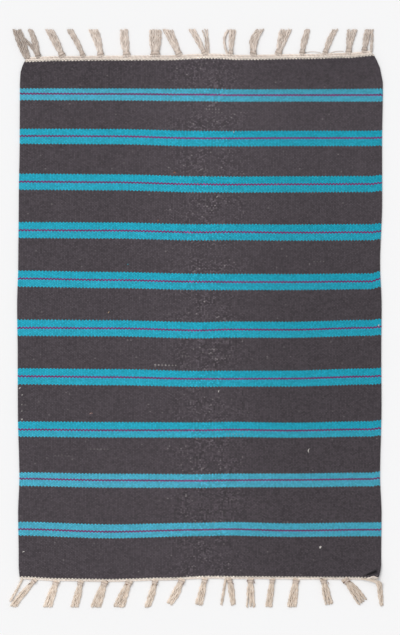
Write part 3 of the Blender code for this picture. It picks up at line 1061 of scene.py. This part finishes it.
def trimmed_length(end, tassel, aside):
    """How long a yarn is that ends `aside` from the middle of its tassel."""
    turn = math.radians(tassel.lean)
    to_trim = outward(end) * (TRIMMED_AT[end] - root_of(end, tassel))
    return min(tassel.length, (to_trim + aside * math.sin(turn)) / math.cos(turn))


def width_at(tassel, reach):
    """How wide a tassel is at this reach: gathered to a neck by its knot, then full, then flared."""
    share = (reach - KNOT_END) / (tassel.length - KNOT_END)
    neck = NECK if tassel.knot else 1.0
    full = neck + (1 - neck) * float(ease(share / FULL_AT))
    full += (ROOT_SPREAD - neck) * (1 - float(ease(reach / KNOT_END)))
    flared = float(ease((share - FLARE_FROM) / (1 - FLARE_FROM)))
    return tassel.width * full * (1 + (tassel.flare - 1) * flared)


widest = max(TASSELS["far"], key=lambda tassel: tassel.width)
widths = [round(width_at(widest, reach), 1) for reach in (0, 5, 20, 45)]
print("width of the widest far tassel from its root to its tips, in mm:", widths)

# %% Lead one yarn through its tassel
YARN_RADIUS = 1.15
YARN_POINTS = 24
YARN_START = -3.0
NECK_AT = 5.8
KNOT_FADE = 5.0
KNOT_CORE = 2.7
CORE_LAYER = 0.6
LAYER_RISE = 1.7
LAYER_SETTLE = 0.8
CRIMP_WAVE = 8.5
CRIMP = 0.45
CRIMP_RISE = 0.3
RISE_PHASE = 1.7  # the crimp's rise and the slubs are out of step with its swing by these
SLUB_PHASE = 3
SLUB = 0.10
SLUB_WAVE = 2.9
TIP_FULLNESS = 0.6
# Painted shadow beside the neck below each knot: how far it reaches, how dark in the middle and at the
# sides.
NECK_SHADOW_REACH = 1.7
NECK_SHADOW_MIDDLE = 0.08
NECK_SHADOW_SIDES = 2.4
# Every yarn takes its own value from each of these ranges.
TRIM_ERROR = (-1.6, 0.6)
GATHERED_BY_TWO = (0.05, 0.25)
GATHERED_BY_MORE = (0.45, 0.6)
WANDERS = (-1.1, 1.1)
WANDER_WAVES = (0.6, 1.5)
CRIMP_WAVES = (0.8, 1.25)
PLUMPNESS = (0.82, 1.12)
YARN_TONES = {"far": (0.87, 1.08), "near": (0.93, 1.06)}


def yarn_route(end, tassel, slot, layer):
    """The way of one yarn, which holds a slot (-0.5 to 0.5) in one layer of its tassel."""
    length = trimmed_length(end, tassel, slot * tassel.width * tassel.flare) + chance.uniform(*TRIM_ERROR)
    finger = (math.floor((slot + 0.5) * tassel.fingers) + 0.5) / tassel.fingers - 0.5
    gathering = chance.uniform(*(GATHERED_BY_TWO if tassel.fingers < 3 else GATHERED_BY_MORE))
    wander = chance.uniform(*WANDERS)
    waves = chance.uniform(*WANDER_WAVES)
    phase = chance.uniform(0, 2 * math.pi)
    wave = CRIMP_WAVE * chance.uniform(*CRIMP_WAVES)
    plump = chance.uniform(*PLUMPNESS)
    tone = tassel.tone * chance.uniform(*YARN_TONES[end])
    route = []
    for share in np.linspace(0.0, 1.0, YARN_POINTS):
        reach = YARN_START + (length - YARN_START) * share
        loose = float(ease((reach - KNOT_END) / (length - KNOT_END)))
        out_of_knot = float(ease((reach - KNOT_END) / KNOT_FADE))
        # Across, it keeps to its slot, leans towards its finger, wanders a little and is crimped.
        aside = width_at(tassel, reach) * (slot + (finger - slot) * gathering * loose)
        aside += wander * loose * math.sin(2 * math.pi * waves * share + phase)
        crimped = 2 * math.pi * reach / wave
        aside += CRIMP * out_of_knot * math.sin(crimped + phase)
        # It rests on the floor or on the layer below, and near its root it is lifted into the knot.
        resting = YARN_RADIUS * plump * (1 + layer * (LAYER_RISE - LAYER_SETTLE * loose))
        resting += CRIMP_RISE * out_of_knot * (1 + math.sin(crimped + phase * RISE_PHASE))
        height = resting + (KNOT_CORE + CORE_LAYER * layer - resting) * (1 - out_of_knot)
        # It is thinner at its tip, painted darker as shadow beside the knot's neck, and never quite even.
        fullness = plump * (1.0 if share < 1.0 else TIP_FULLNESS)
        neck_shadow = tassel.knot * math.exp(-(((reach - NECK_AT) / NECK_SHADOW_REACH) ** 2))
        neck_shadow *= NECK_SHADOW_MIDDLE + NECK_SHADOW_SIDES * slot**2
        slub = 1 + SLUB * math.sin(reach / SLUB_WAVE + SLUB_PHASE * phase)
        spot_tone = tone * slub * (1 - neck_shadow)
        route.append(Spot(*tassel_point(end, tassel, reach, aside, height), fullness, spot_tone))
    return route


print("points to a yarn:", YARN_POINTS, "and mm to a wave of its crimp, about:", CRIMP_WAVE)

# %% Lead a yarn in along the heading
RUN_POINTS = 12
RUN_LEFT = 0.12  # what is left of the run when the yarn starts to turn out, as a share of it
RUN_TUCK = 0.5  # how far inside the woven end it starts
RUN_FALL = 5.0  # how far it falls away from there, and how far its yarns spread
RUN_SPREAD = 2.6
RUN_HEIGHT = 2.6
RUN_RISE = 2.0
# The rightmost yarn turns out at the first of these points of its route, and the leftmost one this
# many points later.
FIRST_TURN = 4
LATER_TURN = 3


def run_along(end, tassel, slot, route):
    """Brings a yarn to its root along the heading, for a tassel whose warps start further in."""
    turn_at = FIRST_TURN + round(LATER_TURN * (0.5 - slot))
    turned = route[turn_at]
    way_in = []
    for share in np.linspace(1.0, RUN_LEFT, RUN_POINTS):
        run_x = turned.x - tassel.run * share
        below = RUN_FALL * (1 - share) ** 2 - RUN_TUCK + (0.5 - slot) * RUN_SPREAD * (1 - share)
        run_y = float(end_y(end, run_x)) + outward(end) * below
        run_z = RUN_HEIGHT + RUN_RISE * share + float(curl(run_x, run_y))
        way_in.append(turned._replace(x=run_x, y=run_y, z=run_z))
    return way_in + route[turn_at:]


print("tassels that run in:", sum(tassel.run > 0 for rows in TASSELS.values() for tassel in rows))


# %% Lay all the tassels
def tassel_yarns(end):
    """Every yarn of every tassel at one end: a lower layer, and one fewer in the upper layer."""
    yarns = []
    for tassel in TASSELS[end]:
        below = max(2, round(tassel.width / tassel.gap))
        for layer, count in ((0, below), (1, below - 1)):
            for k in range(count):
                slot = ((k + 0.5) / count - 0.5) * (1.0 if layer == 0 else (below - 1) / below)
                route = yarn_route(end, tassel, slot, layer)
                if tassel.run:
                    route = run_along(end, tassel, slot, route)
                yarns.append(route)
    return yarns


tassel_finishes = {
    "far": undyed_yarn("far_tassel_yarn", turns=9.0, dark=(0.80, 0.67, 0.58), light=(0.92, 0.83, 0.755)),
    "near": undyed_yarn("near_tassel_yarn", turns=9.0, dark=(0.81, 0.66, 0.535), light=(0.93, 0.82, 0.715)),
}
for end, finish in tassel_finishes.items():
    tassels = lay_yarns(f"{end}_tassel_yarns", tassel_yarns(end), YARN_RADIUS, roundness=1)
    dress(tassels, finish, f"{end}_fringe")

# %% [markdown]
# ## The knots
#
# The knot holds the tassel against the heading and gathers its yarns to a neck. From above it reads as
# two turns of yarn that cross the bundle at a slant, and a third that lies straight nearer the heading,
# so that is what is laid: three rings, drawn tight.

# %% Tie the knots
KNOT_RADIUS = 0.95
KNOT_RISE = 1.8
KNOT_MIDDLE = 3.1
RING_POINTS = 16
RING_TONES = (0.94, 1.06)
RING_FULLNESS = (0.9, 1.1)
RING_SIDES_PAINTED_SHADE = 0.24

# How far down its tassel each turn lies, how much it slants, how far it stands out and how light it is.
Turn = namedtuple("Turn", "reach tilt wider tone")
KNOT_TURNS = (
    Turn(reach=3.3, tilt=1.3, wider=0.1, tone=1.0),
    Turn(reach=3.5, tilt=-1.3, wider=0.2, tone=1.0),
    Turn(reach=1.5, tilt=0.3, wider=0.1, tone=0.76),
)


def knot_yarns(end):
    """The rings round every tassel that has a knot, at one end."""
    yarns = []
    for tassel in TASSELS[end]:
        if not tassel.knot:
            continue
        side = chance.choice((-1, 1))
        for turn in KNOT_TURNS:
            half_width = width_at(tassel, turn.reach) / 2 + turn.wider
            tone = tassel.tone * turn.tone * chance.uniform(*RING_TONES)
            ring = []
            for k in range(RING_POINTS):
                angle = 2 * math.pi * k / RING_POINTS
                reach = turn.reach + side * turn.tilt * math.cos(angle)
                height = KNOT_MIDDLE + KNOT_RISE * math.sin(angle)
                place = tassel_point(end, tassel, reach, half_width * math.cos(angle), height)
                # Painted shade: each ring is darker where it turns down the sides of the bundle.
                ring_side_shade = 1 - RING_SIDES_PAINTED_SHADE * math.cos(angle) ** 2
                ring.append(Spot(*place, chance.uniform(*RING_FULLNESS), tone * ring_side_shade))
            yarns.append(ring)
    return yarns


knot_finish = undyed_yarn("knot_yarn", turns=7.0, dark=(0.82, 0.67, 0.57), light=(0.94, 0.83, 0.75))
for end in ("far", "near"):
    knots = lay_yarns(f"{end}_knots", knot_yarns(end), KNOT_RADIUS, roundness=1, closed=True)
    dress(knots, knot_finish, f"{end}_fringe")

# %% [markdown]
# ## Loose threads
#
# Two fine threads have come out of the far heading and lie beside it.

# %% Lay the loose threads
THREAD_RADIUS = 0.4
THREAD_POINTS = 13
THREAD_HEIGHT = 0.6
THREAD_ARCH = 0.8
THREAD_TONE = 0.95

# Each thread by the places of its start, its middle and its finish.
THREADS = (
    ((177.5, 449.5), (191, 450.6), (204, 448.5)),
    ((217.5, 447), (228, 451.0), (242, 451.5)),
)


def thread(start, middle, finish):
    """A fine thread that bends once on its way from start to finish."""
    route = []
    for share in np.linspace(0.0, 1.0, THREAD_POINTS):
        bend = 4 * share * (1 - share)
        x, y = (a + (b - a) * share + (m - (a + b) / 2) * bend for a, m, b in zip(start, middle, finish))
        route.append(Spot(x, y, THREAD_HEIGHT + THREAD_ARCH * bend, 1.0, THREAD_TONE))
    return route


thread_routes = [thread(*places) for places in THREADS]
threads = lay_yarns("far_loose_threads", thread_routes, THREAD_RADIUS, roundness=1)
dress(threads, tassel_finishes["far"], "far_fringe")

# %% [markdown]
# ## Neps
#
# Neps are tufts of short fibre that were spun or woven in by chance: white ones, and a few that have
# caught another dye. Each is a short bent bit of yarn that lies on the ribs. The dark brown bits laid in
# the folds of the near knots are painted shadow, made in the same way.

# %% Where the neps lie
# A nep's middle, its length, which way it points, in degrees from +X, and how light it is.
Nep = namedtuple("Nep", "x y length heading tone")
NepKind = namedtuple("NepKind", "tint neps on_knots", defaults=(False,))
NEP_KINDS = (
    NepKind(
        tint=(0.80, 0.76, 0.72),
        neps=(
            Nep(32, -123, 4.0, 80, 0.9),
            Nep(203, -386, 4.5, 70, 1.1),
            Nep(204.2, -386.5, 3.5, 55, 1.1),
            Nep(184, -223, 7.0, 80, 1.0),
            Nep(-300, -129, 2.4, 60, 0.8),
            Nep(-300.5, -145.5, 2.0, 80, 0.6),
            Nep(-300.5, -156.5, 2.0, 40, 0.7),
            Nep(-300.5, -170.5, 3.0, 30, 1.0),
            Nep(-298, -394, 3.5, 20, 1.0),
            Nep(29, 205, 3.0, 50, 0.6),
            Nep(57, 315, 3.0, 85, 0.8),
            Nep(-304, -118, 4.0, 40, 1.1),
            Nep(302, -12, 4.0, 75, 0.9),
        ),
    ),
    NepKind(tint=(0.42, 0.30, 0.20), neps=(Nep(-154, 10, 3.8, 50, 1.3),)),
    NepKind(tint=(0.45, 0.28, 0.25), neps=(Nep(-184, -161, 5.5, 18, 1.0),)),
    NepKind(
        tint=(0.60, 0.20, 0.08),
        neps=(
            Nep(-43, 246, 3.0, 10, 0.8),
            Nep(-70.5, 165, 2.6, 70, 0.9),
        ),
    ),
    NepKind(tint=(0.03, 0.34, 0.46), neps=(Nep(-122, 91, 2.6, 30, 1.0),)),
    NepKind(
        tint=(0.03, 0.02, 0.03),
        neps=(
            Nep(304, 379, 4.0, 80, 1.0),
            Nep(-27, -298.5, 5.0, 8, 1.0),
            Nep(-24, -304, 6.0, -5, 1.0),
        ),
    ),
    # Painted shadow: dark brown bits laid beside the near knots, where their folds are shaded.
    NepKind(
        tint=(0.16, 0.08, 0.05),
        neps=(
            Nep(-287.5, -448, 5.0, 40, 1.0),
            Nep(-157.5, -444, 4.5, -35, 1.0),
            Nep(-124, -449, 2.6, 20, 1.8),
            Nep(-79.5, -449, 3.0, 60, 1.2),
            Nep(-72.5, -449.5, 3.2, 75, 1.0),
            Nep(-28, -447.5, 3.0, 70, 1.2),
            Nep(55, -447.5, 4.0, -55, 1.5),
            Nep(80, -442.5, 4.0, 80, 1.2),
            Nep(91, -445.5, 4.5, -65, 1.2),
            Nep(204.5, -440, 6.0, -20, 0.8),
            Nep(215.5, -446.5, 5.0, -65, 2.0),
            Nep(243, -445.5, 4.0, 50, 0.9),
            Nep(250.5, -444, 4.5, -20, 1.0),
        ),
        on_knots=True,
    ),
)
print("neps:", sum(len(kind.neps) for kind in NEP_KINDS))

# %% Lay the neps
NEP_RADIUS = 0.5
NEP_POINTS = 7
NEP_LIFT = CLOTH_THICKNESS + 0.2
KNOT_LIFT = 5.9
NEP_BEND = 0.25
NEP_MIDDLE = 1.25  # its fullness in the middle, and how much of it is gone at the ends
NEP_TAPER = 0.75
NEP_FLUFF = 1500.0
NEP_DARKEST, NEP_RANGE = 0.6, 0.8


def nep_yarn(nep, on_knots):
    """A short yarn that bends to one side and thins out at both ends."""
    turn = math.radians(nep.heading)
    lift = KNOT_LIFT if on_knots else NEP_LIFT
    height = lift + float(curl(nep.x, nep.y)) + float(pucker(nep.x, nep.y))
    route = []
    for step in np.linspace(-1.0, 1.0, NEP_POINTS):
        bend = NEP_BEND * nep.length * (1 - step**2)
        x = nep.x + nep.length / 2 * step * math.cos(turn) - bend * math.sin(turn)
        y = nep.y + nep.length / 2 * step * math.sin(turn) + bend * math.cos(turn)
        route.append(Spot(x, y, height, NEP_MIDDLE - NEP_TAPER * abs(step), nep.tone))
    return route


for number, kind in enumerate(NEP_KINDS):
    finish = Finish(f"nep_fibre_and_knot_shadow_{number}")
    place = finish.node("ShaderNodeTexCoord", output="Object")
    lightness = finish.node("ShaderNodeAttribute", {"attribute_name": "tone"}, output="Fac")
    fluff = finish.noise(place, NEP_FLUFF, 3.0)
    fibre = finish.scale(kind.tint, lightness * (NEP_DARKEST + fluff * NEP_RANGE))
    finish.surface(fibre, finish.bump(fluff, YARN_RELIEF), sheen=0.1)
    routes = [nep_yarn(nep, kind.on_knots) for nep in kind.neps]
    neps = lay_yarns(f"neps_{number}", routes, NEP_RADIUS, roundness=1)
    node, slot = ("near_fringe", "undyed_cotton") if kind.on_knots else ("woven_cloth", "woven_cotton")
    dress(neps, finish.material, node)
